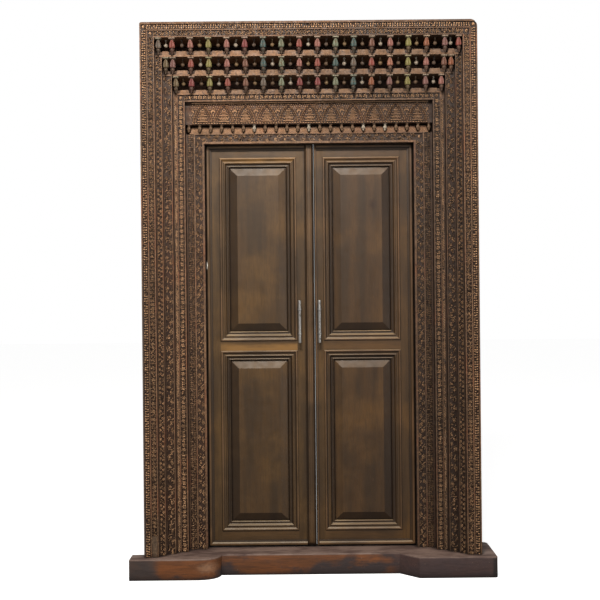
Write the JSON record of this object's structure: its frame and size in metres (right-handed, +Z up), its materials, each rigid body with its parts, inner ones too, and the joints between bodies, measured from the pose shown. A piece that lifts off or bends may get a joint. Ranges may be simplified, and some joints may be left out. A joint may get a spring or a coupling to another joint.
{
  "type": "carved temple door",
  "caption": "Carved timber double door in a stepped architrave frame with tiers of hanging drops over it, a frieze panel and a horned threshold.",
  "frame": {"origin": "middle of the bounding box's bottom face, on the floor under the threshold", "axes": "+Z up, carved face looks along -Y, +X to the right of someone facing the carved side"},
  "size_m": [1.864, 0.32, 2.833],
  "materials": {
    "threshold_wood": "worn, dark, with orange-red bare patches",
    "rough_wood": "rough sawn, darkened",
    "carved_wood": "carved, aged, dusty brown",
    "leaf_wood": "satin, dark olive brown",
    "painted_wood": "old worn paint in several colours",
    "steel": "satin",
    "iron": "dull, dark"
  },
  "bodies": {
    "frame": {"threshold_sill": "threshold_wood", "rear_post_left": "rough_wood", "rear_post_right": "rough_wood", "head_beam": "rough_wood", "head_board": "rough_wood", "outer_jamb_left": "carved_wood", "outer_jamb_right": "carved_wood", "outer_head": "carved_wood", "second_jamb_left": "carved_wood", "second_jamb_right": "carved_wood", "second_lintel": "carved_wood", "third_jamb_left": "carved_wood", "third_jamb_right": "carved_wood", "third_lintel": "carved_wood", "fourth_jamb_left": "carved_wood", "fourth_jamb_right": "carved_wood", "fourth_lintel": "carved_wood", "inner_jamb_left": "carved_wood", "inner_jamb_right": "carved_wood", "inner_lintel": "carved_wood", "frieze_panel": "carved_wood", "frieze_drops": "carved_wood", "tier_one_drops": "painted_wood", "tier_two_drops": "painted_wood", "tier_three_drops": "painted_wood", "tier_one_knobs": "painted_wood", "tier_two_knobs": "painted_wood", "tier_three_knobs": "painted_wood", "left_hinge_frame_plates": "iron", "left_hinge_pins": "iron", "right_hinge_frame_plates": "iron", "right_hinge_pins": "iron"},
    "left_leaf": {"left_hanging_stile": "leaf_wood", "left_meeting_stile": "leaf_wood", "left_top_rail": "leaf_wood", "left_mid_rail": "leaf_wood", "left_bottom_rail": "leaf_wood", "left_upper_panel": "leaf_wood", "left_lower_panel": "leaf_wood", "left_upper_moulding": "leaf_wood", "left_lower_moulding": "leaf_wood", "left_rim_moulding": "leaf_wood", "left_handle": "steel", "left_hinge_door_plates": "iron", "astragal": "leaf_wood"},
    "right_leaf": {"right_hanging_stile": "leaf_wood", "right_meeting_stile": "leaf_wood", "right_top_rail": "leaf_wood", "right_mid_rail": "leaf_wood", "right_bottom_rail": "leaf_wood", "right_upper_panel": "leaf_wood", "right_lower_panel": "leaf_wood", "right_upper_moulding": "leaf_wood", "right_lower_moulding": "leaf_wood", "right_rim_moulding": "leaf_wood", "right_handle": "steel", "right_hinge_door_plates": "iron"}
  },
  "joints": [
    {"name": "left_leaf_hinge", "type": "hinge", "parent": "frame", "child": "left_leaf", "pos_m": [-0.5485, 0.1535, 1.1775], "axis": [0, 0, 1], "range_deg": [0, 105]},
    {"name": "right_leaf_hinge", "type": "hinge", "parent": "frame", "child": "right_leaf", "pos_m": [0.5485, 0.1535, 1.1775], "axis": [0, 0, -1], "range_deg": [0, 105]}
  ]
}
